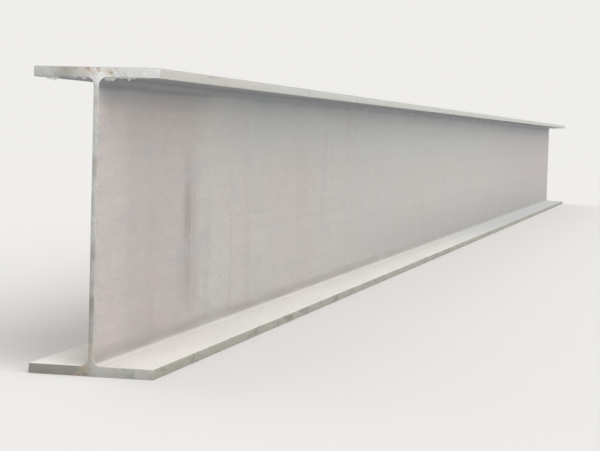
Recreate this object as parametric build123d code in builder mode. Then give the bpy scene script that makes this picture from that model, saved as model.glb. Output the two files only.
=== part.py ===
from build123d import *
import os

# A hot-rolled, parallel-flange steel h-beam, sawn square at both ends, in millimetres.
# It lies along X and stands on its lower flange, which rests on the plane Z = 0.
# The origin is the centre of that flange's underside, at the middle of the beam's length.

# Driving dimensions
beam_length = 12000.0
section_height = 700.0
flange_width = 300.0
web_thickness = 13.0
flange_thickness = 24.0
root_radius = 18.0  # concave fillet between the web and each flange
toe_radius = 3.0  # rounding that the rolls leave on the corners of the flange toes

# Sizes that follow from the driving ones
web_height = section_height - 2 * flange_thickness
flange_outstand = (flange_width - web_thickness) / 2
lower_flange_centre = flange_thickness / 2
upper_flange_centre = section_height - flange_thickness / 2

# A fillet can't be larger than the wall that it is rolled on.
largest_root = 0.95 * min(web_height / 2, flange_outstand)
largest_toe = 0.45 * flange_thickness


def distance_from_web_axis(corner):
    """Return how far a corner of the section lies from the web's centre line."""
    return abs(corner.X)


os.makedirs("parts", exist_ok=True)

with BuildPart() as h_beam:
    # Sketch X runs across the beam and sketch Y runs up it.
    with BuildSketch(Plane.YZ) as section:
        with Locations((0, section_height / 2)):
            Rectangle(web_thickness, web_height)
        with Locations((0, lower_flange_centre), (0, upper_flange_centre)):
            Rectangle(flange_width, flange_thickness)
        root_corners = section.vertices().group_by(distance_from_web_axis)[0]
        fillet(root_corners, min(root_radius, largest_root))
        toe_corners = section.vertices().group_by(distance_from_web_axis)[-1]
        fillet(toe_corners, min(toe_radius, largest_toe))
    extrude(amount=beam_length / 2, both=True)

h_beam.part.label = "h_beam"
export_step(h_beam.part, "parts/h_beam.step")
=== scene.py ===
"""Dress a steel h-beam as it comes from the rolling mill: pale scale, thin rust and sawn ends.

Every length is in metres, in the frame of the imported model: X runs along the beam from its
near end to its far end, Y runs across the flanges and Z runs up, and the beam stands on Z = 0.
"""
import logging
import math
from dataclasses import dataclass
from enum import Enum
from functools import cached_property

import bmesh
import bpy
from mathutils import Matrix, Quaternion, Vector


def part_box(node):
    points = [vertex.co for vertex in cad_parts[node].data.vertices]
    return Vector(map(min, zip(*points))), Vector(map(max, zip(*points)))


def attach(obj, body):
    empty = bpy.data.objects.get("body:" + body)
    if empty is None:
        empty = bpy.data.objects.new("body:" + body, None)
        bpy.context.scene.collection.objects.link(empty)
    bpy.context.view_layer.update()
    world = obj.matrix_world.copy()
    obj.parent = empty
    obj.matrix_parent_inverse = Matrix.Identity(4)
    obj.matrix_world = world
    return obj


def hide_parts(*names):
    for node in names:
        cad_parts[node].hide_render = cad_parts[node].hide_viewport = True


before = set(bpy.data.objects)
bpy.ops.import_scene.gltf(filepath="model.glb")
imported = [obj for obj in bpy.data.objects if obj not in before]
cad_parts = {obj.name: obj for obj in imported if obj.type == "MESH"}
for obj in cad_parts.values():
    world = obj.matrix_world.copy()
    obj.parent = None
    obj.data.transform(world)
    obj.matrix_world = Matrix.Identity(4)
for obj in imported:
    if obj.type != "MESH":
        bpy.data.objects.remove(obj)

BEAM_NODE = "h_beam"
BODY = "root"
MERGE_DISTANCE = 1e-6
NOISE_MEAN = 0.5
BUMP_DISTANCE = 0.001

Colour = tuple[float, float, float]
Point = tuple[float, float, float]
Outline = list[tuple[float, float]]
Socket = bpy.types.NodeSocket
# A band is the two values between which a mask rises, or the two shares that it runs between.
Band = tuple[float, float]

log = logging.getLogger("h_beam")


class BeamEnd(Enum):
    """The two sawn ends, by the direction along X that each one faces."""

    NEAR = -1
    FAR = 1


@dataclass(frozen=True)
class Grain:
    """A noise pattern.

    Attributes:
        scale: Lumps to the metre, before any stretch.
        detail: Octaves of finer noise.
        roughness: How strong the finer octaves are.
        twist: How far the noise distorts itself.
        stretch: What each direction of the place is multiplied by.
        band: The values of the noise that give 0 and 1, where it is read as a mask.
    """

    scale: float
    detail: float = 3.0
    roughness: float = 0.5
    twist: float = 0.0
    stretch: Point | None = None
    band: Band | None = None


class Value:
    """A socket that gives a number, with Python's operators as Math nodes."""

    def __init__(self, graph: "NodeGraph", socket: Socket) -> None:
        """Wrap an output socket of one of the graph's nodes."""
        self.graph = graph
        self.socket = socket

    def __add__(self, other: "Number") -> "Value":
        """Add a number or a socket."""
        return self.graph.math("ADD", self, other)

    __radd__ = __add__

    def __mul__(self, other: "Number") -> "Value":
        """Multiply by a number or a socket."""
        return self.graph.math("MULTIPLY", self, other)

    __rmul__ = __mul__

    def __sub__(self, other: "Number") -> "Value":
        """Take away a number or a socket."""
        return self.graph.math("SUBTRACT", self, other)

    def __rsub__(self, other: "Number") -> "Value":
        """Take this value away from a number."""
        return self.graph.math("SUBTRACT", other, self)

    def __truediv__(self, other: "Number") -> "Value":
        """Divide by a number or a socket."""
        return self.graph.math("DIVIDE", self, other)

    def __mod__(self, other: "Number") -> "Value":
        """Give what is left after dividing."""
        return self.graph.math("FLOORED_MODULO", self, other)

    def __abs__(self) -> "Value":
        """Give the value without its sign."""
        return self.graph.math("ABSOLUTE", self)

    def __gt__(self, other: "Number") -> "Value":
        """Give 1 where this value is the larger one, and 0 elsewhere."""
        return self.graph.math("GREATER_THAN", self, other)

    def unary(self, operation: str) -> "Value":
        """Apply a Math operation of one input, such as FLOOR, SQRT or TANH."""
        return self.graph.math(operation, self)

    def at_least(self, other: "Number") -> "Value":
        """Give the larger of this value and another."""
        return self.graph.math("MAXIMUM", self, other)

    def at_most(self, other: "Number") -> "Value":
        """Give the smaller of this value and another."""
        return self.graph.math("MINIMUM", self, other)

    def between(self, band: Band) -> "Value":
        """Turn a mask into a share that runs from the band's first number to its second."""
        return self * (band[1] - band[0]) + band[0]

    def swing(self, size: "Number") -> "Value":
        """Turn a noise into one that swings about 0, and make it larger or smaller."""
        return (self - NOISE_MEAN) * size

    def ramp(self, band: Band, origin: float = 0.0, unit: float = 1.0) -> "Value":
        """Rise smoothly from 0 at one value to 1 at another, which may be the smaller one.

        Args:
            band: The values that give 0 and 1.
            origin: Where the band is counted from.
            unit: What the band is counted in.

        Returns:
            The mask.
        """
        low, high = (origin + unit * edge for edge in band)
        node = self.graph.node(
            "ShaderNodeMapRange",
            {"interpolation_type": "SMOOTHSTEP"},
            {"Value": self, "From Min": low, "From Max": high},
        )
        return Value(self.graph, node.outputs["Result"])


Number = Value | float
Feed = Value | Socket | float | int | bool | str | tuple | bpy.types.ID


class NodeGraph:
    """A shader or geometry node tree that is written as calls."""

    def __init__(self, tree: bpy.types.NodeTree) -> None:
        """Take over a node tree and empty it."""
        self.tree = tree
        tree.nodes.clear()

    def node(
        self, kind: str, settings: dict[str, object] | None = None, inputs: dict | None = None
    ) -> bpy.types.Node:
        """Add a node.

        Args:
            kind: The node's type, such as ShaderNodeTexNoise.
            settings: The node's own properties, set before its sockets.
            inputs: What each input socket gets, by identifier, name or index.

        Returns:
            The new node.
        """
        made = self.tree.nodes.new(kind)
        for name, setting in (settings or {}).items():
            setattr(made, name, setting)
        for key, feed in (inputs or {}).items():
            self.feed(self.find_input(made, key), feed)
        return made

    @staticmethod
    def find_input(node: bpy.types.Node, key: str | int) -> Socket:
        """Find an input socket by its identifier, its name or its index."""
        found = [socket for socket in node.inputs if socket.identifier == key]
        return found[0] if found else node.inputs[key]

    def feed(self, socket: Socket, feed: Feed) -> None:
        """Link a socket to another, or set its constant.

        Args:
            socket: The input socket.
            feed: A value, an output socket or a constant.
        """
        source = feed.socket if isinstance(feed, Value) else feed
        if isinstance(source, Socket):
            self.tree.links.new(source, socket)
        elif isinstance(source, tuple) and socket.type == "RGBA":
            socket.default_value = (*source[:3], 1.0)
        else:
            socket.default_value = source

    def math(self, operation: str, *operands: Number) -> Value:
        """Add a Math node on one to three numbers or sockets."""
        made = self.node("ShaderNodeMath", {"operation": operation}, dict(enumerate(operands)))
        return Value(self, made.outputs["Value"])

    def combine(self, x: Number, y: Number, z: Number) -> Socket:
        """Make a vector of three numbers or sockets."""
        made = self.node("ShaderNodeCombineXYZ", inputs={"X": x, "Y": y, "Z": z})
        return made.outputs["Vector"]

    def split(self, vector: Socket) -> tuple[Value, ...]:
        """Split a vector into its three numbers."""
        made = self.node("ShaderNodeSeparateXYZ", inputs={"Vector": vector})
        return tuple(Value(self, socket) for socket in made.outputs)

    def vector_math(self, operation: str, *operands: Feed) -> Socket:
        """Add a Vector Math node.

        Args:
            operation: The node's operation.
            operands: Vectors, or for SCALE a vector and a number.

        Returns:
            The resulting vector's socket.
        """
        keys = (0, "Scale" if operation == "SCALE" else 1)
        inputs = dict(zip(keys, operands))
        made = self.node("ShaderNodeVectorMath", {"operation": operation}, inputs)
        return made.outputs["Vector"]

    def shifted(self, start: Feed, direction: Feed, distance: Value) -> Socket:
        """Go some distance from a place, in a direction."""
        return self.vector_math("ADD", start, self.vector_math("SCALE", direction, distance))

    def noise(self, place: Feed, grain: Grain) -> Value:
        """Add a noise texture.

        Args:
            place: Where the noise is read.
            grain: The pattern.

        Returns:
            The noise, about 0.5 on average, or the mask that the pattern's band makes of it.
        """
        if grain.stretch:
            place = self.vector_math("MULTIPLY", place, grain.stretch)
        inputs = {
            "Vector": place,
            "Scale": grain.scale,
            "Detail": grain.detail,
            "Roughness": grain.roughness,
            "Distortion": grain.twist,
        }
        noise = Value(self, self.node("ShaderNodeTexNoise", inputs=inputs).outputs[0])
        return noise.ramp(grain.band) if grain.band else noise

    def mix(self, share: Number, under: Feed, over: Feed, blend: str = "MIX") -> Socket:
        """Mix two colours.

        Args:
            share: How much of the colour on top shows, from 0 to 1.
            under: The colour below.
            over: The colour on top.
            blend: The Mix node's blend type.

        Returns:
            The mixed colour's socket.
        """
        made = self.node(
            "ShaderNodeMix",
            {"data_type": "RGBA", "blend_type": blend, "clamp_factor": True},
            {"Factor_Float": share, "A_Color": under, "B_Color": over},
        )
        return next(s for s in made.outputs if s.identifier == "Result_Color")

    def shaded(self, colour: Feed, shade: Value) -> Socket:
        """Make a colour lighter or darker by a number."""
        return self.mix(1.0, colour, self.combine(shade, shade, shade), "MULTIPLY")

    def relief(self, strength: float, height: Value) -> Socket:
        """Give the normal of a surface with fine relief on it."""
        inputs = {"Strength": strength, "Distance": BUMP_DISTANCE, "Height": height}
        return self.node("ShaderNodeBump", inputs=inputs).outputs["Normal"]

    def end_with(self, output: str, share: Value, under: Socket, over: Socket) -> None:
        """End the tree with two shaders, of which the second covers the first by a share."""
        both = self.node("ShaderNodeMixShader", inputs={0: share, 1: under, 2: over})
        self.node(output, inputs={"Surface": both.outputs["Shader"]})


@dataclass(frozen=True)
class Tint:
    """A colour, how strongly it covers, and the values that it fades in between, if any."""

    colour: Colour
    share: float = 1.0
    band: Band | None = None

    def over(self, under: Feed, value: Value, *masks: Value) -> Socket:
        """Lay the colour over another.

        Args:
            under: The colour below.
            value: What the colour follows: a mask, or a value that the band makes one of.
            masks: Further masks that hold the colour back.

        Returns:
            The mixed colour's socket.
        """
        mask = value.ramp(self.band) if self.band else value
        for other in masks:
            mask = mask * other
        if self.share < 1.0:
            mask = mask * self.share
        return value.graph.mix(mask, under, self.colour)


def new_material(name: str) -> tuple[bpy.types.Material, NodeGraph]:
    """Make a material with an empty node tree.

    Args:
        name: The material's name.

    Returns:
        The material and its tree.
    """
    made = bpy.data.materials.new(name)
    made.use_nodes = True
    return made, NodeGraph(made.node_tree)


def new_object(name: str, data: bpy.types.ID) -> bpy.types.Object:
    """Add an object to the scene.

    Args:
        name: The object's name.
        data: Its mesh, lamp or camera.

    Returns:
        The object, at the origin, unturned and unscaled.
    """
    made = bpy.data.objects.new(name, data)
    bpy.context.collection.objects.link(made)
    return made


def plain_mesh(maker: bpy.types.Object, name: str) -> bpy.types.Object:
    """Turn what an object's modifiers make into a plain mesh, and delete the maker.

    Args:
        maker: The object with live modifiers.
        name: The new object's name.

    Returns:
        The plain object, at the origin, unturned and unscaled.
    """
    graph = bpy.context.evaluated_depsgraph_get()
    mesh = bpy.data.meshes.new_from_object(maker.evaluated_get(graph), depsgraph=graph)
    mesh.name = name
    bpy.data.objects.remove(maker, do_unlink=True)
    return new_object(name, mesh)


def recalculate_outward(mesh: bpy.types.Mesh) -> None:
    """Turn every face of a mesh outwards.

    Args:
        mesh: The mesh, whose doubles are merged already.
    """
    work = bmesh.new()
    work.from_mesh(mesh)
    bmesh.ops.recalc_face_normals(work, faces=work.faces)
    work.to_mesh(mesh)
    work.free()


class GeometryGraph(NodeGraph):
    """A Geometry Nodes tree with named inputs for its sizes."""

    def __init__(self, name: str) -> None:
        """Make an empty tree.

        Args:
            name: The tree's name.
        """
        super().__init__(bpy.data.node_groups.new(name, "GeometryNodeTree"))
        self.entry = self.node("NodeGroupInput")
        self.values: dict[str, float | int] = {}
        self.new_socket("Geometry", "OUTPUT", "NodeSocketGeometry")

    def new_socket(self, name: str, side: str, kind: str) -> bpy.types.NodeTreeInterfaceSocket:
        """Add a socket to the tree's own inputs or outputs."""
        return self.tree.interface.new_socket(name, in_out=side, socket_type=kind)

    def size(self, name: str, value: float | int) -> Value:
        """Add a named input.

        Args:
            name: The input's name.
            value: What the modifier sets it to. A whole number makes a whole-number input.

        Returns:
            The input, as a value inside the tree.
        """
        kind = "NodeSocketInt" if isinstance(value, int) else "NodeSocketFloat"
        made = self.new_socket(name, "INPUT", kind)
        self.values[made.identifier] = value
        return Value(self, next(s for s in self.entry.outputs if s.identifier == made.identifier))

    def base(self) -> Socket:
        """Add an input for the mesh that the modifier sits on, and give its socket."""
        self.new_socket("Base", "INPUT", "NodeSocketGeometry")
        return self.entry.outputs["Base"]

    def position(self) -> Socket:
        """Give each point's place."""
        return self.node("GeometryNodeInputPosition").outputs[0]

    def grid_place(self, rows: Number) -> tuple[Value, Value]:
        """Give each point's column and row in a sheet.

        Args:
            rows: How many rows the sheet has. The points' numbers run down each column in turn.

        Returns:
            The column and the row, both from 0.
        """
        number = Value(self, self.node("GeometryNodeInputIndex").outputs[0])
        # The half keeps the first point of each column clear of a rounding error.
        column = ((number + 0.5) / rows).unary("FLOOR")
        return column, number - column * rows

    def point_count(self, mesh: Socket) -> Value:
        """Count the points of a mesh."""
        made = self.node("GeometryNodeAttributeDomainSize", inputs={"Geometry": mesh})
        return Value(self, made.outputs["Point Count"])

    def sample(self, geometry: Socket, number: Value) -> Socket:
        """Look up the place of one of a mesh's points.

        Args:
            geometry: The mesh.
            number: The point's number.

        Returns:
            The point's place.
        """
        made = self.node(
            "GeometryNodeSampleIndex",
            {"data_type": "FLOAT_VECTOR", "domain": "POINT"},
            {"Geometry": geometry, "Value": self.position(), "Index": number},
        )
        return made.outputs["Value"]

    def moved(self, geometry: Socket, place: Feed) -> Socket:
        """Put every point of some geometry at a new place."""
        inputs = {"Geometry": geometry, "Position": place}
        return self.node("GeometryNodeSetPosition", inputs=inputs).outputs["Geometry"]

    def merged(self, geometry: Socket) -> Socket:
        """Make points that share a place one."""
        inputs = {"Geometry": geometry, "Distance": MERGE_DISTANCE}
        return self.node("GeometryNodeMergeByDistance", inputs=inputs).outputs["Geometry"]

    def sheet(self, columns: Value, rows: Number, place: Feed) -> Socket:
        """Make a grid of points, put each one at its place and merge those that meet."""
        grid = self.node("GeometryNodeMeshGrid", inputs={"Vertices X": columns, "Vertices Y": rows})
        return self.merged(self.moved(grid.outputs["Mesh"], place))

    def turned_out(self, mesh: Socket) -> Socket:
        """Turn the faces of a mesh round."""
        return self.node("GeometryNodeFlipFaces", inputs={"Mesh": mesh}).outputs["Mesh"]

    def painted(self, geometry: Socket, material: bpy.types.Material) -> Socket:
        """Realize instances and set the material.

        Args:
            geometry: What gets the material.
            material: The material.

        Returns:
            The geometry with its material.
        """
        real = self.node("GeometryNodeRealizeInstances", inputs={"Geometry": geometry})
        inputs = {"Geometry": real.outputs["Geometry"], "Material": material}
        return self.node("GeometryNodeSetMaterial", inputs=inputs).outputs["Geometry"]

    def joined(self, *parts: Socket) -> Socket:
        """Join some geometry into one.

        Args:
            parts: The geometry to join, in the order that its points are numbered in.

        Returns:
            The joined geometry.
        """
        made = self.node("GeometryNodeJoinGeometry")
        for part in reversed(parts):
            self.tree.links.new(part, made.inputs["Geometry"])
        return made.outputs["Geometry"]

    def grow(self, result: Socket, base: bpy.types.Mesh, name: str) -> bpy.types.Object:
        """Run the tree on a mesh and keep what it makes as a plain mesh.

        Args:
            result: The geometry that the tree gives.
            base: The mesh that the modifier sits on.
            name: The new object's name.

        Returns:
            The plain object.
        """
        self.node("NodeGroupOutput", inputs={"Geometry": result})
        maker = new_object(f"{name}_maker", base)
        modifier = maker.modifiers.new(self.tree.name, "NODES")
        modifier.node_group = self.tree
        for identifier, value in self.values.items():
            modifier[identifier] = value
        return plain_mesh(maker, name)


@dataclass(frozen=True)
class RolledSection:
    """The section that the rolls leave: two flanges on a web, with round roots and soft toes."""

    height: float
    width: float
    web_thickness: float = 0.013
    flange_thickness: float = 0.024
    root_radius: float = 0.018
    toe_radius: float = 0.003
    root_steps: int = 6
    toe_steps: int = 3
    flat_pitch: float = 0.014

    @property
    def under_flange(self) -> float:
        """The height of the upper flange's lower face."""
        return self.height - self.flange_thickness

    def flat(self, start: tuple[float, float], end: tuple[float, float]) -> Outline:
        """Divide a straight stretch of the outline.

        Args:
            start: Its first point.
            end: Its last point.

        Returns:
            The points from the first up to, but without, the last.
        """
        count = max(1, round(math.dist(start, end) / self.flat_pitch))
        run = (end[0] - start[0], end[1] - start[1])
        steps = [i / count for i in range(count)]
        return [(start[0] + run[0] * t, start[1] + run[1] * t) for t in steps]

    def arc(
        self, centre: tuple[float, float], radius: float, start: float, turn: float, steps: int
    ) -> Outline:
        """Divide an arc of the outline.

        Args:
            centre: The arc's centre.
            radius: Its radius.
            start: The angle of its first point, in degrees.
            turn: How far it turns, in degrees, anticlockwise if positive.
            steps: How many straight steps it is divided into.

        Returns:
            The points from the first up to, but without, the last.
        """
        y, z = centre
        angles = [math.radians(start + turn * i / steps) for i in range(steps)]
        return [(y + radius * math.cos(a), z + radius * math.sin(a)) for a in angles]

    def quarter(self) -> Outline:
        """Give the outline of the upper right quarter.

        Returns:
            Points from the web's face at mid-height up to, but without, the top's middle.
        """
        face = self.web_thickness / 2
        tip = self.width / 2
        top = self.height / 2
        under = top - self.flange_thickness
        root = self.root_radius
        toe = self.toe_radius
        return [
            *self.flat((face, 0.0), (face, under - root)),
            *self.arc((face + root, under - root), root, 180, -90, self.root_steps),
            *self.flat((face + root, under), (tip - toe, under)),
            *self.arc((tip - toe, under + toe), toe, -90, 90, self.toe_steps),
            *self.flat((tip, under + toe), (tip, top - toe)),
            *self.arc((tip - toe, top - toe), toe, 0, 90, self.toe_steps),
            *self.flat((tip - toe, top), (0.0, top)),
        ]

    def outline(self) -> Outline:
        """Give the whole outline, anticlockwise, from the four mirrored quarters.

        Returns:
            Points (y, z), with z from the beam's underside.
        """
        quarter = self.quarter()
        upper_left = [(-y, z) for y, z in reversed(quarter[1:])]
        half = [*quarter, (0.0, self.height / 2), *upper_left]
        other_half = [(-y, -z) for y, z in half]
        return [(y, z + self.height / 2) for y, z in [*half, *other_half]]


@dataclass
class RolledBeam:
    """The beam itself: its section swept from one sawn end to the other."""

    section: RolledSection
    length: float
    skin: bpy.types.Material
    cut: bpy.types.Material
    stations: int = 380
    crowding: float = 3.6
    cut_rounding: float = 0.0012
    dent_depth: float = 0.0016
    knock_depth: float = 0.0035
    knock_reach: float = 0.07
    wave_height: float = 0.0005
    seed: float = 4.0
    dents: Grain = Grain(9.0, 2.0, band=(0.58, 0.72))
    knocks: Grain = Grain(46.0, 2.0, band=(0.48, 0.7))
    waves: Grain = Grain(1.7, 1.0)
    toe_facing: Band = (0.5, 0.9)
    toe_strip: Band = (0.8, 0.95)
    crease_angle: float = math.radians(38)

    def outline_mesh(self) -> bpy.types.Mesh:
        """Make a closed loop of edges along the section's outline, at X = 0.

        Returns:
            The mesh that the sweep reads.
        """
        points = self.section.outline()
        count = len(points)
        edges = [(i, (i + 1) % count) for i in range(count)]
        mesh = bpy.data.meshes.new("section_outline")
        mesh.from_pydata([(0.0, y, z) for y, z in points], edges, [])
        return mesh

    def skin_place(
        self, graph: GeometryGraph, outline: Socket, count: Value, length: Value
    ) -> tuple[Socket, Value]:
        """Work out where each point of the rolled skin lies.

        Args:
            graph: The sweep's tree.
            outline: The section's outline.
            count: How many points the outline has.
            length: The beam's length.

        Returns:
            The points' places, and how many stations the sweep has.
        """
        stations = graph.size("Stations", self.stations)
        crowding = graph.size("Crowding", self.crowding)
        rounding = graph.size("Cut rounding", self.cut_rounding)
        dent_depth = graph.size("Dent depth", self.dent_depth)
        knock_depth = graph.size("Knock depth", self.knock_depth)
        wave_height = graph.size("Wave height", self.wave_height)
        seed = graph.size("Seed", self.seed)

        station, step = graph.grid_place(count + 1.0)
        here = graph.sample(outline, step % count)
        ahead = graph.sample(outline, (step + 1.0) % count)
        behind = graph.sample(outline, (step + count - 1.0) % count)
        _, run_y, run_z = graph.split(graph.vector_math("SUBTRACT", ahead, behind))
        outward = graph.vector_math("NORMALIZE", graph.combine(0.0, run_z, run_y * -1.0))
        _, out_y, _ = graph.split(outward)
        _, y, z = graph.split(here)

        t = station / (stations - 1.0) * 2.0 - 1.0
        x = (t * crowding).unary("TANH") / crowding.unary("TANH") * length * 0.5
        from_cut = length * 0.5 - abs(x)
        short = (rounding - from_cut).at_least(0.0)
        eased = rounding - (rounding * rounding - short * short).at_least(0.0).unary("SQRT")

        on_toe = abs(y).ramp(self.toe_strip, unit=self.section.width / 2)
        on_toe = abs(out_y).ramp(self.toe_facing) * on_toe
        spot = graph.combine(x + seed, y, z)
        dents = graph.noise(spot, self.dents) * dent_depth
        knocks = graph.noise(spot, self.knocks) * from_cut.ramp((self.knock_reach, 0.0))
        push = graph.noise(spot, self.waves).swing(wave_height) * 2.0 - eased
        push = push - on_toe * (dents + knocks * knock_depth)
        return graph.shifted(graph.combine(x, y, z), outward, push), stations

    def face(
        self, graph: GeometryGraph, skin: Socket, length: Value, end: BeamEnd
    ) -> Socket:
        """Close one end of the skin with its sawn face.

        Args:
            graph: The sweep's tree.
            skin: The open skin.
            length: The beam's length.
            end: Which end to close.

        Returns:
            The sawn face.
        """
        x, y, z = graph.split(graph.position())
        neighbours = Value(graph, graph.node("GeometryNodeInputMeshEdgeNeighbors").outputs[0])
        # An edge of the open rim has one face beside it, and any other edge has two.
        rim = graph.math("COMPARE", neighbours, 1.0, 0.5) * (x * float(end.value) > 0.0)
        loop = graph.node("GeometryNodeMeshToCurve", inputs={"Mesh": skin, "Selection": rim})
        flat = graph.moved(loop.outputs["Curve"], graph.combine(y, z, 0.0))
        filled = graph.node("GeometryNodeFillCurve", {"mode": "NGONS"}, {"Curve": flat})
        plane = length * (0.5 * end.value)
        stood = graph.moved(filled.outputs["Mesh"], graph.combine(plane, x, y))
        return graph.turned_out(stood) if end is BeamEnd.NEAR else stood

    def build(self) -> bpy.types.Object:
        """Sweep the section, close both cuts and put the beam on its body.

        Returns:
            The finished beam.
        """
        graph = GeometryGraph("rolled_beam")
        outline = graph.base()
        length = graph.size("Length", self.length)
        count = graph.point_count(outline)
        place, stations = self.skin_place(graph, outline, count, length)
        skin = graph.turned_out(graph.sheet(stations, count + 1.0, place))
        skin = graph.painted(skin, self.skin)
        faces = [graph.painted(self.face(graph, skin, length, end), self.cut) for end in BeamEnd]
        whole = graph.merged(graph.joined(skin, *faces))
        beam = graph.grow(whole, self.outline_mesh(), "rolled_beam")
        beam.data.shade_smooth()
        beam.data.set_sharp_from_angle(angle=self.crease_angle)
        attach(beam, BODY)
        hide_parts(BEAM_NODE)
        return beam


@dataclass(frozen=True)
class Lip:
    """One edge that the saw leaves a burr on, and how the burr stands.

    Attributes:
        start: The edge's first point.
        end: The edge's last point.
        hang: Where the burr reaches, as shares of its reach.
        depth: Where its back lies, as shares of its thickness.
    """

    start: Point
    end: Point
    hang: Point
    depth: Point

    @property
    def run(self) -> Point:
        """The way from the edge's first point to its last."""
        return tuple(b - a for a, b in zip(self.start, self.end))


@dataclass
class SawBurr:
    """The ragged lips that the saw drags out along the lower edges of a cut."""

    beam: RolledBeam
    end: BeamEnd
    finish: bpy.types.Material
    columns: int = 260
    ring: int = 6
    reach: float = 0.011
    pressed_reach: float = 0.0025
    web_reach: float = 0.003
    thickness: float = 0.0014
    pressed_thickness: float = 0.7
    pressed_height: float = 0.001
    lean: float = 0.12
    root_share: float = 0.6
    sunk: float = 0.0004
    seed: float = 11.0
    tatters: Grain = Grain(130.0, 5.0, 0.7, band=(0.40, 0.70))
    tattered: Band = (0.25, 1.0)
    clumps: Grain = Grain(34.0, 1.0, band=(0.36, 0.62))
    end_fade: float = 0.04
    thinning: float = 0.7

    def lips(self) -> list[Lip]:
        """List the edges that carry a burr.

        Returns:
            Both halves of the upper flange's lower edge, where the burr hangs free, the web's
            front edge, where it is a thin line, and the lower flange's lower edge, where the
            beam's weight has pressed it forward.
        """
        section = self.beam.section
        out = float(self.end.value)
        plane = out * self.beam.length / 2 - out * self.sunk
        under = section.under_flange + self.sunk
        tip = section.width / 2 - section.toe_radius
        root = section.web_thickness / 2 + section.root_radius * self.root_share
        hang = (self.lean * out, 0, -1)
        inward = (-out, 0, 0)
        hanging = [
            Lip((plane, side * root, under), (plane, side * tip, under), hang, inward)
            for side in (-1, 1)
        ]
        low = self.pressed_height
        forward = (out * self.pressed_reach / self.reach, 0, 0)
        back = (0, 0, self.pressed_thickness)
        pressed = Lip((plane, -tip, low), (plane, tip, low), forward, back)
        face = self.sunk - section.web_thickness / 2
        foot = (plane, face, section.flange_thickness + section.root_radius)
        head = (plane, face, under - section.root_radius)
        web = Lip(foot, head, (0, -self.web_reach / self.reach, 0), inward)
        return [*hanging, pressed, web]

    def lip_place(
        self, graph: GeometryGraph, lip: Lip, columns: Value, sizes: dict[str, Value]
    ) -> Socket:
        """Work out where the points of one lip lie.

        Args:
            graph: The burr's tree.
            lip: The lip.
            columns: Points along the lip.
            sizes: The tree's reach, thickness and seed.

        Returns:
            The points' places.
        """
        last = float(self.ring - 1)
        column, row = graph.grid_place(float(self.ring + 1))
        row = row % float(self.ring)
        share = column / (columns - 1.0)
        down = row.at_most(last - row) / math.floor(last / 2)
        behind = row > last / 2
        length = math.dist(lip.start, lip.end)
        spot = graph.combine(share * length, lip.start[1], sizes["seed"] + lip.start[2])
        ragged = graph.noise(spot, self.tatters).between(self.tattered)
        ends = share.ramp((0.0, self.end_fade)) * share.ramp((1.0, 1.0 - self.end_fade))
        reach = ragged * graph.noise(spot, self.clumps) * ends * sizes["reach"] * down
        wall = behind * sizes["thickness"] * (1.0 - down * self.thinning)
        line = graph.shifted(lip.start, lip.run, share)
        return graph.shifted(graph.shifted(line, lip.hang, reach), lip.depth, wall)

    def build(self) -> bpy.types.Object:
        """Grow every lip of this end as one piece.

        Returns:
            The finished burr.
        """
        name = f"saw_burr_{self.end.name.lower()}"
        graph = GeometryGraph(name)
        graph.base()
        columns = graph.size("Columns", self.columns)
        sizes = {
            "reach": graph.size("Reach", self.reach),
            "thickness": graph.size("Thickness", self.thickness),
            "seed": graph.size("Seed", self.seed + self.end.value),
        }
        places = [self.lip_place(graph, lip, columns, sizes) for lip in self.lips()]
        sheets = [graph.sheet(columns, self.ring + 1, place) for place in places]
        whole = graph.painted(graph.joined(*sheets), self.finish)
        burr = graph.grow(whole, bpy.data.meshes.new(f"{name}_base"), name)
        recalculate_outward(burr.data)
        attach(burr, BODY)
        return burr


class Surface:
    """The coordinates and broad masks that a finish reads at each point of the beam."""

    near_zone: Band = (-0.12, -0.46)
    far_zone: Band = (0.0, 0.4)
    upward: Band = (0.5, 0.97)
    past_toe: Band = (-0.001, -0.006)

    def __init__(self, graph: NodeGraph, section: RolledSection, length: float) -> None:
        """Read the point's place and its normal.

        Args:
            graph: The material's tree.
            section: The beam's section.
            length: The beam's length.
        """
        self.graph = graph
        self.section = section
        self.length = length
        coordinates = graph.node("ShaderNodeTexCoord")
        self.place = coordinates.outputs["Object"]
        self.x, self.y, self.z = graph.split(self.place)
        _, normal_y, self.up = graph.split(coordinates.outputs["Normal"])
        self.sideways = abs(normal_y)
        self.out = abs(self.y)

    @cached_property
    def near_end(self) -> Value:
        """Give 1 at the near end, where the rust is thickest, falling to 0 towards the middle."""
        return self.along(self.near_zone)

    @cached_property
    def far_end(self) -> Value:
        """Give 1 at the far end, falling to 0 at the middle."""
        return self.along(self.far_zone)

    @cached_property
    def on_top(self) -> Value:
        """Give 1 on the faces that look up."""
        return self.up.ramp(self.upward)

    @cached_property
    def inside_toes(self) -> Value:
        """Give 1 everywhere but on the flange toes."""
        return self.from_tip(self.past_toe)

    def noise(self, grain: Grain) -> Value:
        """Read a noise pattern at the point's place."""
        return self.graph.noise(self.place, grain)

    def along(self, band: Band) -> Value:
        """Rise between two places along the beam, as shares of its length from the middle."""
        return self.x.ramp(band, unit=self.length)

    def level(self, band: Band) -> Value:
        """Rise between two heights, as shares of the beam's height."""
        return self.z.ramp(band, unit=self.section.height)

    def across(self, band: Band) -> Value:
        """Rise between two distances from the web's middle, as shares of the beam's width."""
        return self.out.ramp(band, unit=self.section.width)

    def from_tip(self, band: Band) -> Value:
        """Rise between two distances out from the flange tips, negative towards the web."""
        return self.out.ramp(band, origin=self.section.width / 2)


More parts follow.
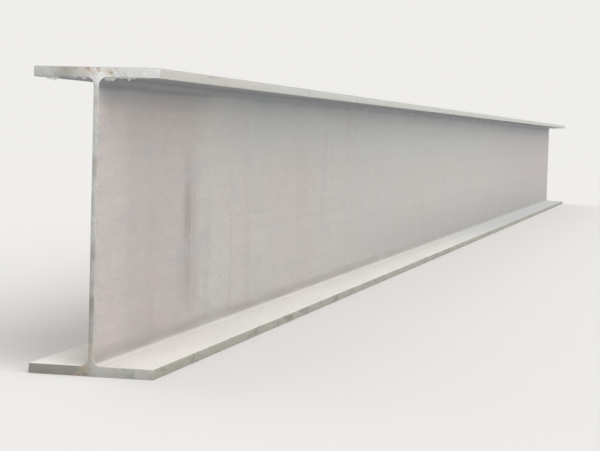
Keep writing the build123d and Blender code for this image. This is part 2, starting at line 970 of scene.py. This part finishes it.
class Finish:
    """A named steel finish, which works out what the shader's sockets get."""

    name = "finish"

    def paint(self, surface: Surface) -> dict[str, Feed]:
        """Give the feeds of the shader's sockets."""
        raise NotImplementedError

    def material(self, section: RolledSection, length: float) -> bpy.types.Material:
        """Build the material for a beam.

        Args:
            section: The beam's section.
            length: The beam's length.

        Returns:
            The new material.
        """
        made, graph = new_material(self.name)
        feeds = self.paint(Surface(graph, section, length))
        shader = graph.node("ShaderNodeBsdfPrincipled", inputs=feeds)
        graph.node("ShaderNodeOutputMaterial", inputs={"Surface": shader.outputs["BSDF"]})
        return made


@dataclass(frozen=True)
class BroadTones:
    """The skin's broad tones: pale by the near cut, ruddy, rinsed, lilac far off, and painted cool
    sky light above.

    The zones near the cut are distances from it, in metres.
    """

    broad: Grain = Grain(1.4, stretch=(0.7, 9.0, 1.6))
    bands: Grain = Grain(1.0, 4.0, twist=0.3, stretch=(2.4, 12.0, 1.3))
    stains: Grain = Grain(1.3, 5.0, 0.6, 0.3, (2.2, 12.0, 2.4), (0.5, 0.7))
    specks: Grain = Grain(210.0, 5.0, 0.7)
    cool: Tint = Tint((0.500, 0.500, 0.488), 0.8, (0.38, 0.64))
    rosy: Tint = Tint((0.540, 0.490, 0.470), 0.9)
    rosy_bands: Band = (0.38, 0.66)
    rosy_share: Band = (0.2, 0.7)
    sandy: Tint = Tint((0.555, 0.522, 0.470), 0.5)
    wander: float = 0.3
    rinsed: Tint = Tint((0.550, 0.538, 0.505), 0.75)
    rinsed_from: Band = (0.78, 0.92)
    rinsed_until: Band = (1.5, 1.05)
    ruddy: Tint = Tint((0.510, 0.462, 0.442), band=(0.86, 0.72))
    ruddy_bands: Band = (0.3, 0.6)
    ruddy_share: Band = (0.6, 0.85)
    pale: Tint = Tint((0.575, 0.523, 0.505), 0.85, (0.26, 0.14))
    pale_wander: float = 0.3
    # Painted cool sky light on the open upper web, away from the near cut.
    painted_sky_tint: Tint = Tint((0.480, 0.505, 0.500), 0.6)
    open_web: Band = (0.56, 0.82)
    open_from: Band = (0.8, 1.3)
    lilac: Tint = Tint((0.512, 0.472, 0.470), 0.7)
    flash_rust: Tint = Tint((0.49, 0.375, 0.325), 0.33, (0.55, 0.68))
    rust_gain: float = 0.12

    def over(self, surface: Surface, colour: Feed) -> Socket:
        """Lay the tones over a colour.

        Args:
            surface: The coordinates.
            colour: The colour below.

        Returns:
            The colour with the tones.
        """
        bands = surface.noise(self.bands)
        colour = self.cool.over(colour, surface.noise(self.broad))
        rusty = bands.ramp(self.rosy_bands) * surface.near_end.between(self.rosy_share)
        colour = self.rosy.over(colour, rusty)
        colour = self.sandy.over(colour, surface.noise(self.stains))
        wander = bands.swing(self.wander)
        from_cut = surface.x + surface.length / 2
        inward = from_cut + wander
        rinsed = inward.ramp(self.rinsed_from) * inward.ramp(self.rinsed_until)
        colour = self.rinsed.over(colour, rinsed)
        patches = bands.ramp(self.ruddy_bands).between(self.ruddy_share)
        colour = self.ruddy.over(colour, inward, patches)
        colour = self.pale.over(colour, from_cut + wander * self.pale_wander)
        # Painted cool sky light on the upper web.
        open_web = surface.level(self.open_web) * inward.ramp(self.open_from)
        colour = self.painted_sky_tint.over(colour, open_web)
        colour = self.lilac.over(colour, surface.far_end)
        specks = surface.noise(self.specks) + rusty * self.rust_gain
        return self.flash_rust.over(colour, specks)


@dataclass(frozen=True)
class RainStreaks:
    """Soft rain streaks down the upright faces, and one long one near the near end.

    The long one's levels are shares of the beam's height, its edges shares of its half width.
    """

    facing: Band = (0.5, 0.95)
    swaying: Grain = Grain(1.0, 2.0, stretch=(2.0, 30.0, 4.0))
    sway: float = 0.05
    apart: float = 40.0
    drawn_out: float = 0.12
    wide: Grain = Grain(8.0, 2.0, band=(0.5, 0.74))
    wide_share: float = 0.34
    fine: Grain = Grain(30.0, 3.0, 0.55, band=(0.5, 0.74))
    fine_share: float = 0.10
    fade: Grain = Grain(1.0, 2.0, stretch=(2.0, 30.0, 2.6), band=(0.36, 0.64))
    soft: Tint = Tint((0.37, 0.325, 0.31))
    by_near_end: Band = (0.3, 1.0)
    long: Tint = Tint(soft.colour, 0.95)
    long_place: float = -5.268
    half_width: float = 0.08
    core: Band = (1.0, 0.1)
    foot: Band = (0.08, 0.2)
    head: Band = (0.80, 0.50)
    thin_foot: Band = (0.1, 0.4)
    thin_share: Band = (0.65, 1.0)
    broken: Grain = Grain(16.0, band=(0.15, 0.5))
    stain: Band = (1.9, 0.4)
    stain_level: Band = (0.55, 0.2)
    stain_share: float = 0.4

    def long_streak(self, surface: Surface, run: Socket, aside: Value) -> Value:
        """Shape the long streak: a broken core that fades upwards, in a wider stain below.

        Args:
            surface: The coordinates.
            run: The drawn-out place that streaks are read at.
            aside: The distance from the streak's middle, along the beam.

        Returns:
            How strongly the streak shows.
        """
        core = aside.ramp(self.core, unit=self.half_width)
        head = surface.level(self.head) * surface.level(self.thin_foot).between(self.thin_share)
        core = core * head * surface.graph.noise(run, self.broken)
        stain = aside.ramp(self.stain, unit=self.half_width) * surface.level(self.stain_level)
        return core.at_least(stain * self.stain_share) * surface.level(self.foot)

    def over(self, surface: Surface, colour: Feed) -> Socket:
        """Lay the streaks over a colour.

        Args:
            surface: The coordinates.
            colour: The colour below.

        Returns:
            The colour with the streaks.
        """
        graph = surface.graph
        upright = surface.sideways.ramp(self.facing)
        swayed = surface.x + surface.noise(self.swaying) * self.sway
        run = graph.combine(swayed, surface.y * self.apart, surface.z * self.drawn_out)
        wide = graph.noise(run, self.wide) * self.wide_share
        fine = graph.noise(run, self.fine) * self.fine_share
        share = (wide + fine) * surface.noise(self.fade)
        colour = self.soft.over(colour, share, upright, surface.near_end.between(self.by_near_end))
        aside = abs(swayed - self.sway * NOISE_MEAN - self.long_place)
        front = surface.y.ramp((0.0, -surface.section.web_thickness / 2))
        return self.long.over(colour, self.long_streak(surface, run, aside), front, upright)


@dataclass(frozen=True)
class UnderFlangeShade:
    """Painted shade under the upper flange: its cool shadow on the upper web, a darker root and a
    darker lower face.

    The shade's reach is counted from the flange's lower face in metres, the root in root radii.
    """

    ragged: Grain = Grain(3.0, 4.0, 0.6, stretch=(1.2, 12.0, 3.0))
    ragged_size: float = 0.04
    far_drop: float = 0.03
    by_cut: Band = (-0.41, -0.46)
    cut_drop: float = 0.018
    below_top: Band = (0.3, -0.2)
    # Painted shade: the upper flange's cool shadow on the upper web.
    under_flange_shade: Tint = Tint((0.308, 0.342, 0.372))
    shade_reach: Band = (-0.042, 0.022)
    shade_reach_share: float = 0.85
    # Painted shade in the upper root.
    root_shade: Tint = Tint((0.240, 0.252, 0.268), 0.9)
    root: Band = (-1.0, -0.2)
    root_ragged: float = 0.3
    root_cut_drop: float = 0.008
    # Painted shade on the faces that look down.
    underside_shade: Tint = Tint((0.276, 0.288, 0.306), 0.95, (-0.6, -0.97))

    def over(self, surface: Surface, colour: Feed) -> Socket:
        """Lay the painted shade over a colour.

        Args:
            surface: The coordinates.
            colour: The colour below.

        Returns:
            The colour with the painted shade.
        """
        section = surface.section
        under = section.under_flange
        ragged = surface.noise(self.ragged) * self.ragged_size + surface.far_end * self.far_drop
        by_cut = surface.along(self.by_cut)
        places = (surface.inside_toes, surface.up.ramp(self.below_top))
        # Painted shadow of the upper flange, reaching lower by the near cut and at the far end.
        shade_reach = (surface.z + ragged + by_cut * self.cut_drop).ramp(self.shade_reach, origin=under)
        colour = self.under_flange_shade.over(colour, shade_reach * self.shade_reach_share, *places)
        # Painted shade in the upper root, under the flange.
        root = surface.z + ragged * self.root_ragged + by_cut * self.root_cut_drop
        root = root.ramp(self.root, origin=under, unit=section.root_radius)
        colour = self.root_shade.over(colour, root, *places)
        # Painted shade on the faces that look down.
        return self.underside_shade.over(colour, surface.up)


@dataclass(frozen=True)
class LowDarkening:
    """Dirt and painted shade in the lower roots, and a darker lower web beyond the near end.

    The root's edge and its height are counted in metres, from the root and from the flange.
    """

    facing: Band = (0.45, 0.85)
    drift: Grain = Grain(1.0, stretch=(5.0, 20.0, 5.0))
    drift_size: float = 0.02
    # Dirt and painted shade in the lower root corners.
    root_grime_and_shade: Tint = Tint((0.33, 0.30, 0.27))
    root_edge: Band = (0.010, -0.008)
    root_height: Band = (0.056, 0.024)
    gathered: Grain = Grain(2.0, 5.0, 0.6, stretch=(1.4, 10.0, 10.0), band=(0.25, 0.7))
    gathered_share: Band = (0.35, 0.75)
    # A darker lower web over the far half of the beam.
    darker_low_web: Tint = Tint((0.415, 0.412, 0.405), 0.68)
    darker_low_level: Band = (0.46, 0.15)
    darker_low_drift: float = 2.0
    darker_low_from: Band = (-0.35, -0.05)

    def over(self, surface: Surface, colour: Feed) -> Socket:
        """Lay dirt and painted shade in the lower roots, and the darker lower web, over a colour.

        Args:
            surface: The coordinates.
            colour: The colour below.

        Returns:
            The colour with the root dirt, the painted shade and the darker lower web.
        """
        section = surface.section
        upright = surface.sideways.ramp(self.facing)
        drift = surface.noise(self.drift) * self.drift_size
        edge = section.web_thickness / 2 + section.root_radius
        in_root = surface.out.ramp(self.root_edge, origin=edge)
        low = (surface.z + drift).ramp(self.root_height, origin=section.flange_thickness) * upright
        gathered = surface.noise(self.gathered).between(self.gathered_share)
        # Dirt and painted shade in the lower roots.
        colour = self.root_grime_and_shade.over(colour, in_root, low, gathered)
        # The lower web darker over the far half of the beam.
        darker_low_web = surface.z + drift * self.darker_low_drift
        darker_low_web = darker_low_web.ramp(self.darker_low_level, unit=section.height) * surface.along(self.darker_low_from)
        return self.darker_low_web.over(colour, darker_low_web, upright, surface.inside_toes)


@dataclass(frozen=True)
class DustAndTopLight:
    """Pale dust on the faces that look up, partly painted light from above, with tide marks and the
    marks of handling.
    """

    open_sky: Band = (0.4, 0.6)
    puddles: Grain = Grain(1.9, 6.0, 0.6, stretch=(1.0, 7.0, 7.0))
    powder: Grain = Grain(120.0, 5.0, 0.7)
    powder_swing: float = 0.7
    # Pale dust, partly painted light from above: faces that look up come out lighter.
    dust: Colour = (0.82, 0.80, 0.75)
    # Lighter towards the lower flange's toes.
    outer_lighter: Tint = Tint((0.90, 0.88, 0.83))
    rim: Band = (0.14, 0.40)
    far: Tint = Tint((0.64, 0.66, 0.655))
    far_zone: Band = (-0.2, 0.2)
    washed: Tint = Tint((0.60, 0.61, 0.60))
    washed_puddles: Band = (0.42, 0.66)
    washed_share: Band = (0.15, 0.30)
    washed_by_sky: float = 0.7
    cover: float = 0.9
    bare_by_sky: float = 0.2
    # Less dust cover by the lower root: painted shade in the corner.
    root_shade_share: float = 0.3
    by_root: Band = (0.15, 0.05)
    tide_mark: Tint = Tint((0.50, 0.46, 0.41), 0.3)
    tide_line: float = 0.53
    tide_width: Band = (0.02, 0.002)
    tide_powder: Band = (0.4, 0.62)
    dragged: Tint = Tint((0.40, 0.405, 0.41))
    drags: Grain = Grain(1.0, 3.0, 0.6, band=(0.60, 0.70))
    drag_skew: float = 0.012
    drag_stretch: tuple[float, float] = (0.55, 130.0)
    handled: Grain = Grain(1.3, stretch=(0.8, 4.0, 4.0), band=(0.42, 0.62))
    drag_share: Band = (0.12, 0.54)

    def settled(self, surface: Surface, sky: Value, puddles: Value, powder: Value) -> Socket:
        """Mix the dust's colour, which partly stands for painted light from above.

        Args:
            surface: The coordinates.
            sky: 1 on the upper flange and 0 on the lower one, which the upper one covers.
            puddles: The pattern that drying rain leaves.
            powder: The dust's grain.

        Returns:
            The colour of the dust and its painted light.
        """
        walled = 1.0 - sky
        piled = self.outer_lighter.over(self.dust, surface.across(self.rim), walled)
        piled = self.far.over(piled, surface.along(self.far_zone), walled)
        thin = puddles.ramp(self.washed_puddles) * sky.between(self.washed_share)
        thin = thin + sky * self.washed_by_sky + powder.swing(self.powder_swing)
        return self.washed.over(piled, thin.at_least(0.0))

    def over(self, surface: Surface, colour: Feed) -> Socket:
        """Lay the dust and its painted light over a colour.

        Args:
            surface: The coordinates.
            colour: The colour below.

        Returns:
            The colour with the dust and its painted light.
        """
        graph = surface.graph
        top = surface.on_top
        sky = surface.level(self.open_sky)
        puddles = surface.noise(self.puddles)
        powder = surface.noise(self.powder)
        # Less dust cover by the lower root: painted shade in the corner.
        by_root = surface.across(self.by_root) * (1.0 - sky)
        cover = powder.swing(self.powder_swing) + self.cover - sky * self.bare_by_sky
        cover = (cover - by_root * self.root_shade_share).at_most(1.0)
        # Dust and painted light from above on the faces that look up.
        colour = graph.mix(top * cover, colour, self.settled(surface, sky, puddles, powder))
        tide = abs(puddles - self.tide_line).ramp(self.tide_width) * powder.ramp(self.tide_powder)
        colour = self.tide_mark.over(colour, top, tide)
        along, aside = self.drag_stretch
        skew = surface.y + surface.x * self.drag_skew
        drags = graph.noise(graph.combine(surface.x * along, skew * aside, 0.0), self.drags)
        share = sky.between(self.drag_share)
        return self.dragged.over(colour, top, drags, surface.noise(self.handled), share)


@dataclass(frozen=True)
class ToeLightAndWear:
    """The flange toes: bright and cool with painted light above, olive and blotched with painted
    shade below.
    """

    strip: Band = (-0.005, -0.001)
    facing: Band = (0.3, 0.8)
    upper: Band = (0.45, 0.55)
    worn: Grain = Grain(2.0, 6.0, 0.65, stretch=(3.0, 20.0, 30.0))
    # Painted light on the upper toes.
    bright: Tint = Tint((0.60, 0.605, 0.565))
    bright_worn: Band = (0.3, 0.6)
    bright_share: Band = (0.4, 0.8)
    # Olive dirt and painted shade on the lower toes.
    olive: Tint = Tint((0.365, 0.357, 0.308))
    olive_worn: Band = (0.3, 0.55)
    olive_share: Band = (0.6, 0.95)
    spots: Grain = Grain(1.6, 6.0, 0.7, stretch=(7.0, 20.0, 26.0))
    blotch: Tint = Tint((0.19, 0.178, 0.15))
    low_spots: Band = (0.50, 0.64)
    low_share: float = 0.7
    high_spots: Band = (0.58, 0.70)
    high_share: float = 0.35

    def over(self, surface: Surface, colour: Feed) -> Socket:
        """Lay the toes' colours, with their painted light and shade, over a colour.

        Args:
            surface: The coordinates.
            colour: The colour below.

        Returns:
            The colour with the toes.
        """
        toe = surface.from_tip(self.strip) * surface.sideways.ramp(self.facing)
        upper = surface.level(self.upper)
        lower = toe * (1.0 - upper)
        worn = surface.noise(self.worn)
        bright = worn.ramp(self.bright_worn).between(self.bright_share)
        # Painted light on the upper toe.
        colour = self.bright.over(colour, toe, upper, bright)
        olive = worn.ramp(self.olive_worn).between(self.olive_share)
        # Olive dirt and painted shade on the lower toe.
        colour = self.olive.over(colour, lower, olive)
        spots = surface.noise(self.spots)
        low = lower * spots.ramp(self.low_spots) * self.low_share
        high = upper * toe * spots.ramp(self.high_spots) * self.high_share
        return self.blotch.over(colour, low + high)


@dataclass(frozen=True)
class MillScale(Finish):
    """The rolled skin: pale scale with flash rust, rain streaks, scratches and dust, and painted
    light and shade.
    """

    name: str = "mill_scale"
    grey: Colour = (0.525, 0.508, 0.482)
    tones: BroadTones = BroadTones()
    streaks: RainStreaks = RainStreaks()
    # Coats: painted shade under the upper flange; dirt with painted shade low down; dust with
    # painted light; the toes' painted light and shade.
    under_flange_shade: UnderFlangeShade = UnderFlangeShade()
    dirt: LowDarkening = LowDarkening()
    dust: DustAndTopLight = DustAndTopLight()
    toes: ToeLightAndWear = ToeLightAndWear()
    islands: Grain = Grain(9.0, 8.0, 0.62, 0.4, (0.45, 1.5, 1.5), (0.57, 0.595))
    tight_scale: Tint = Tint((0.415, 0.42, 0.425), 0.4)
    lines: Grain = Grain(1.0, stretch=(1.2, 170.0, 170.0))
    line_shade: float = 0.12
    passes: Grain = Grain(1.0, 2.0, stretch=(0.25, 30.0, 30.0))
    pass_shade: float = 0.08
    mottle: Grain = Grain(60.0, 7.0, 0.68, stretch=(0.35, 1.0, 1.0))
    mottle_shade: float = 0.40
    # Painted shade towards the far end.
    far_painted_shade: float = 0.07
    scratch: Tint = Tint((0.66, 0.655, 0.63), 0.4)
    scratches: Grain = Grain(1.0, 2.0, band=(0.70, 0.76))
    scratch_tilt: float = 0.06
    scratch_stretch: Point = (0.9, 150.0, 210.0)
    scratch_mottle: Band = (0.42, 0.56)
    rust: Tint = Tint((0.34, 0.19, 0.11))
    freckles_per_metre: float = 48.0
    freckle_size: Band = (0.26, 0.14)
    freckle_ragged: float = 0.5
    freckle_pick: Band = (0.86, 0.92)
    freckle_patches: Grain = Grain(1.9, band=(0.48, 0.66))
    freckle_edge: Band = (-0.04, 0.0)
    freckle_gain: float = 0.4
    freckle_base: float = 0.05
    roughness: float = 0.54
    rough_mottle: float = 0.4
    smooth_flakes: float = 0.10
    rough_rust: float = 0.2
    rough_dust: float = 0.2
    metallic: float = 0.4
    dust_metallic: float = 0.35
    relief: float = 0.45
    mottle_height: float = 0.8
    flake_depth: float = 0.25
    line_height: float = 0.2
    scratch_depth: float = 0.2

    def freckles(self, surface: Surface, mottle: Value) -> Value:
        """Scatter small rust spots, thickest in patches and towards the flange tips.

        Args:
            surface: The coordinates.
            mottle: The noise that makes the spots ragged.

        Returns:
            The spots' mask.
        """
        graph = surface.graph
        inputs = {"Vector": surface.place, "Scale": self.freckles_per_metre, "Randomness": 1.0}
        cells = graph.node("ShaderNodeTexVoronoi", {"feature": "F1"}, inputs)
        reach = Value(graph, cells.outputs["Distance"]) + mottle.swing(self.freckle_ragged)
        pick, _, _ = graph.split(cells.outputs["Color"])
        patches = surface.noise(self.freckle_patches) * self.freckle_gain
        edge = surface.from_tip(self.freckle_edge) * self.freckle_gain
        spots = reach.ramp(self.freckle_size) * pick.ramp(self.freckle_pick)
        return spots * (patches + edge + self.freckle_base)

    def paint(self, surface: Surface) -> dict[str, Feed]:
        """Lay every coat in turn.

        Args:
            surface: The coordinates.

        Returns:
            The feeds of the shader's sockets.
        """
        graph = surface.graph
        colour = self.streaks.over(surface, self.tones.over(surface, self.grey))

        flaked = surface.noise(self.islands)
        colour = self.tight_scale.over(colour, flaked)
        lines = surface.noise(self.lines)
        mottle = surface.noise(self.mottle)
        passes = surface.noise(self.passes).swing(self.pass_shade)
        shade = lines.swing(self.line_shade) + passes + mottle.swing(self.mottle_shade) + 1.0
        # Darker towards the far end: painted shade.
        colour = graph.shaded(colour, shade - surface.far_end * self.far_painted_shade)
        along, aside, upward = self.scratch_stretch
        tilt = surface.z + surface.x * self.scratch_tilt
        across = graph.combine(surface.x * along, surface.y * aside, tilt * upward)
        scratches = graph.noise(across, self.scratches) * mottle.ramp(self.scratch_mottle)
        colour = self.scratch.over(colour, scratches)

        # Painted shade, dirt, dust with painted light, and the toes' painted light and shade.
        for coat in (self.under_flange_shade, self.dirt, self.dust, self.toes):
            colour = coat.over(surface, colour)
        freckles = self.freckles(surface, mottle)
        colour = self.rust.over(colour, freckles)

        dusty = surface.on_top
        rough = self.roughness + mottle.swing(self.rough_mottle) - flaked * self.smooth_flakes
        rough = rough + freckles * self.rough_rust + dusty * self.rough_dust
        height = mottle * self.mottle_height - flaked * self.flake_depth
        height = height + lines * self.line_height - scratches * self.scratch_depth
        return {
            "Base Color": colour,
            "Roughness": rough,
            "Metallic": self.metallic - dusty * self.dust_metallic,
            "Normal": graph.relief(self.relief, height),
        }


@dataclass(frozen=True)
class SawnFace(Finish):
    """The hot-sawn end: arcs from the blade, torn grain, a dull low part and left half, and thin
    rust.
    """

    name: str = "sawn_face"
    steel: Colour = (0.80, 0.815, 0.82)
    blade_centre: tuple[float, float] = (-0.5, 1.05)
    marks: Grain = Grain(170.0, 4.0, 0.65)
    mark_length: float = 0.03
    mark_shade: float = 0.75
    mottle: Grain = Grain(110.0, 6.0, 0.7)
    mottle_shade: float = 0.5
    dull: Tint = Tint((0.265, 0.265, 0.24))
    dirt: Grain = Grain(14.0, stretch=(1.0, 1.0, 0.7))
    dirt_band: Band = (0.44, 0.62)
    dirt_share: float = 0.25
    low_from: float = 0.93
    low_to: float = 0.01
    low_share: float = 0.67
    left: Band = (-0.02, 0.06)
    left_share: float = 0.52
    web_top: float = 0.92
    web_share: float = 0.32
    torn: Grain = Grain(230.0, 4.0, 0.7)
    bright: Tint = Tint((0.82, 0.83, 0.82), 0.6, (0.60, 0.68))
    bright_loss: float = 0.7
    pits: Tint = Tint(dull.colour, 0.5, (0.40, 0.33))
    middle: Band = (0.09, 0.01)
    in_flange: Band = (0.34, 0.46)
    blotches: Grain = Grain(22.0, 6.0, 0.65)
    warm: Tint = Tint((0.52, 0.43, 0.32), band=(0.42, 0.58))
    warm_share: Band = (0.1, 0.5)
    rust: Tint = Tint((0.36, 0.20, 0.10), band=(0.56, 0.62))
    rust_share: Band = (0.08, 0.58)
    roughness: float = 0.36
    dirt_roughness: float = 0.25
    metallic: float = 0.45
    relief: float = 0.7
    mark_height: float = 1.3
    mottle_height: float = 0.6

    def paint(self, surface: Surface) -> dict[str, Feed]:
        """Lay the saw's marks, the dirt, the darker low part and left half, and the rust.

        Args:
            surface: The coordinates.

        Returns:
            The feeds of the shader's sockets.
        """
        graph = surface.graph
        section = surface.section
        aside = surface.y - self.blade_centre[0]
        above = surface.z - self.blade_centre[1]
        radius = (aside * aside + above * above).unary("SQRT")
        drawn = (surface.y * self.mark_length, surface.z * self.mark_length)
        marks = graph.noise(graph.combine(radius, *drawn), self.marks)
        mottle = surface.noise(self.mottle)
        shade = mottle.swing(self.mottle_shade) + marks.swing(self.mark_shade) + 1.0
        colour = graph.shaded(self.steel, shade)

        dirt = surface.noise(self.dirt)
        low = surface.z.ramp((section.height * self.low_from, self.low_to))
        on_web = surface.z.ramp((section.under_flange, section.height * self.web_top))
        # Dirt patches, and darker towards the bottom, over the left half and on the web's edge.
        darkened = dirt.ramp(self.dirt_band) * self.dirt_share + low * self.low_share
        darkened = darkened + surface.y.ramp(self.left) * self.left_share
        colour = self.dull.over(colour, darkened + on_web * (1.0 - low) * self.web_share)
        torn = surface.noise(self.torn)
        colour = self.bright.over(colour, torn, 1.0 - low * self.bright_loss)
        colour = self.pits.over(colour, torn)

        from_middle = abs(surface.z - section.height / 2)
        core = surface.out.ramp(self.middle) * from_middle.ramp(self.in_flange, unit=section.height)
        blotches = surface.noise(self.blotches)
        colour = self.warm.over(colour, blotches, core.between(self.warm_share))
        colour = self.rust.over(colour, blotches, core.between(self.rust_share))
        height = marks * self.mark_height + mottle * self.mottle_height
        return {
            "Base Color": colour,
            "Roughness": self.roughness + dirt * self.dirt_roughness,
            "Metallic": self.metallic,
            "Normal": graph.relief(self.relief, height),
        }


@dataclass(frozen=True)
class BurrSteel(Finish):
    """The torn lips of the cut: brighter steel with rust in its folds."""

    name: str = "burr_steel"
    steel: Colour = (0.49, 0.495, 0.475)
    rust: Tint = Tint((0.34, 0.22, 0.13), 0.5, (0.48, 0.62))
    patches: Grain = Grain(120.0, 4.0, 0.65)
    roughness: float = 0.5
    rust_roughness: float = 0.2
    metallic: float = 0.35

    def paint(self, surface: Surface) -> dict[str, Feed]:
        """Lay rust over the steel in patches.

        Args:
            surface: The coordinates.

        Returns:
            The feeds of the shader's sockets.
        """
        patches = surface.noise(self.patches)
        return {
            "Base Color": self.rust.over(self.steel, patches),
            "Roughness": self.roughness + patches * self.rust_roughness,
            "Metallic": self.metallic,
        }


@dataclass(frozen=True)
class Studio:
    """A plain pale floor that runs into its backdrop, under a soft sky and two broad lamps."""

    floor_colour: Colour = (0.80, 0.79, 0.775)
    floor_roughness: float = 0.9
    backdrop: Colour = (0.862, 0.853, 0.836)
    sky_colour: Colour = (1.0, 1.0, 1.0)
    sky_low: float = 0.34
    sky_rise: float = 0.34
    key_strength: float = 2.0
    key_from: Point = (-0.45, -0.62, 0.64)
    fill_strength: float = 0.45
    fill_from: Point = (0.55, 0.6, 0.6)
    lamp_spread: float = math.radians(60)
    floor_reach: float = 400.0
    blend: Band = (12.0, 45.0)

    def shown(self, graph: NodeGraph) -> Value:
        """Pick out the rays that show a background: camera, glossy and transmission rays.

        Args:
            graph: The tree of the floor or the sky.

        Returns:
            1 for those rays and 0 for the rest.
        """
        rays = graph.node("ShaderNodeLightPath").outputs
        names = ("Is Camera Ray", "Is Glossy Ray", "Is Transmission Ray")
        camera, glossy, through = (Value(graph, rays[name]) for name in names)
        return (camera + glossy + through).at_most(1.0)

    def floor_paint(self) -> bpy.types.Material:
        """Paint the floor. Far from the beam it shows the backdrop's colour, so no horizon shows.

        Returns:
            The floor's material.
        """
        made, graph = new_material("floor_paint")
        x, y, _ = graph.split(graph.node("ShaderNodeTexCoord").outputs["Object"])
        far = (x * x + y * y).unary("SQRT").ramp(self.blend) * self.shown(graph)
        inputs = {"Base Color": self.floor_colour, "Roughness": self.floor_roughness}
        paint = graph.node("ShaderNodeBsdfPrincipled", inputs=inputs).outputs["BSDF"]
        glow = graph.node("ShaderNodeEmission", inputs={"Color": self.backdrop, "Strength": 1.0})
        graph.end_with("ShaderNodeOutputMaterial", far, paint, glow.outputs["Emission"])
        return made

    def floor(self) -> bpy.types.Object:
        """Lay the floor at the height that the beam stands on.

        Returns:
            The floor.
        """
        reach = self.floor_reach
        mesh = bpy.data.meshes.new("floor")
        corners = [(-reach, -reach, 0), (reach, -reach, 0), (reach, reach, 0), (-reach, reach, 0)]
        mesh.from_pydata(corners, [], [(0, 1, 2, 3)])
        mesh.materials.append(self.floor_paint())
        floor = new_object("floor", mesh)
        return floor

    def sky(self) -> None:
        """Light the scene from all round, most from overhead, and show a pale backdrop."""
        world = bpy.data.worlds.new("soft_sky")
        world.use_nodes = True
        graph = NodeGraph(world.node_tree)
        _, _, up = graph.split(graph.node("ShaderNodeTexCoord").outputs["Generated"])
        strength = up.at_least(0.0) * self.sky_rise + self.sky_low
        light, shown = (
            graph.node("ShaderNodeBackground", inputs={"Color": colour, "Strength": power})
            for colour, power in ((self.sky_colour, strength), (self.backdrop, 1.0))
        )
        sockets = (light.outputs["Background"], shown.outputs["Background"])
        graph.end_with("ShaderNodeOutputWorld", self.shown(graph), *sockets)
        bpy.context.scene.world = world

    def lamp(self, name: str, strength: float, place: Point) -> bpy.types.Object:
        """Add one broad, distant lamp.

        Args:
            name: The lamp's name.
            strength: Its strength.
            place: The direction that it shines from.

        Returns:
            The lamp object.
        """
        light = bpy.data.lights.new(name, "SUN")
        light.energy = strength
        light.angle = self.lamp_spread
        lamp = new_object(name, light)
        lamp.rotation_mode = "QUATERNION"
        lamp.rotation_quaternion = Vector(place).to_track_quat("Z", "Y")
        return lamp

    def build(self) -> None:
        """Set up the floor, the sky and the lamps."""
        self.floor()
        self.sky()
        self.lamp("key_lamp", self.key_strength, self.key_from)
        self.lamp("fill_lamp", self.fill_strength, self.fill_from)
        bpy.context.scene.view_settings.view_transform = "Standard"


@dataclass(frozen=True)
class BeamCamera:
    """The camera, close to where the photograph was taken and turned to the beam."""

    station: Point = (-9.706, -1.323, 0.563)
    heading: float = math.radians(12.85)
    fall: float = math.radians(3.03)
    roll: float = math.radians(1.61)
    focal_pixels: float = 1736.0
    image_width: int = 600
    sensor_width: float = 36.0
    clip: Band = (0.05, 1000.0)

    def build(self) -> bpy.types.Object:
        """Make the camera and give it to the scene.

        Returns:
            The camera object.
        """
        lens = bpy.data.cameras.new("beam_camera")
        lens.sensor_fit = "HORIZONTAL"
        lens.sensor_width = self.sensor_width
        lens.lens = self.focal_pixels / self.image_width * self.sensor_width
        lens.clip_start, lens.clip_end = self.clip
        camera = new_object("beam_camera", lens)
        across = math.cos(self.fall)
        level = (math.cos(self.heading) * across, math.sin(self.heading) * across)
        look = Vector((*level, -math.sin(self.fall)))
        camera.rotation_mode = "QUATERNION"
        camera.rotation_quaternion = Quaternion(look, -self.roll) @ look.to_track_quat("-Z", "Y")
        camera.location = self.station
        bpy.context.scene.camera = camera
        return camera


def main() -> None:
    """Build every piece in order, and light and frame them."""
    logging.basicConfig(level=logging.INFO, format="%(name)s: %(message)s")
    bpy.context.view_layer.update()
    low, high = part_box(BEAM_NODE)
    length, width, height = (b - a for a, b in zip(low, high))
    section = RolledSection(height, width)
    finishes = (MillScale(), SawnFace(), BurrSteel())
    skin, cut, torn = (finish.material(section, length) for finish in finishes)
    beam = RolledBeam(section, length, skin, cut)
    for piece in (beam, *(SawBurr(beam, end, torn) for end in BeamEnd)):
        built = piece.build()
        log.info("%s: %d faces", built.name, len(built.data.polygons))
    Studio().build()
    BeamCamera().build()


if __name__ == "__main__":
    main()
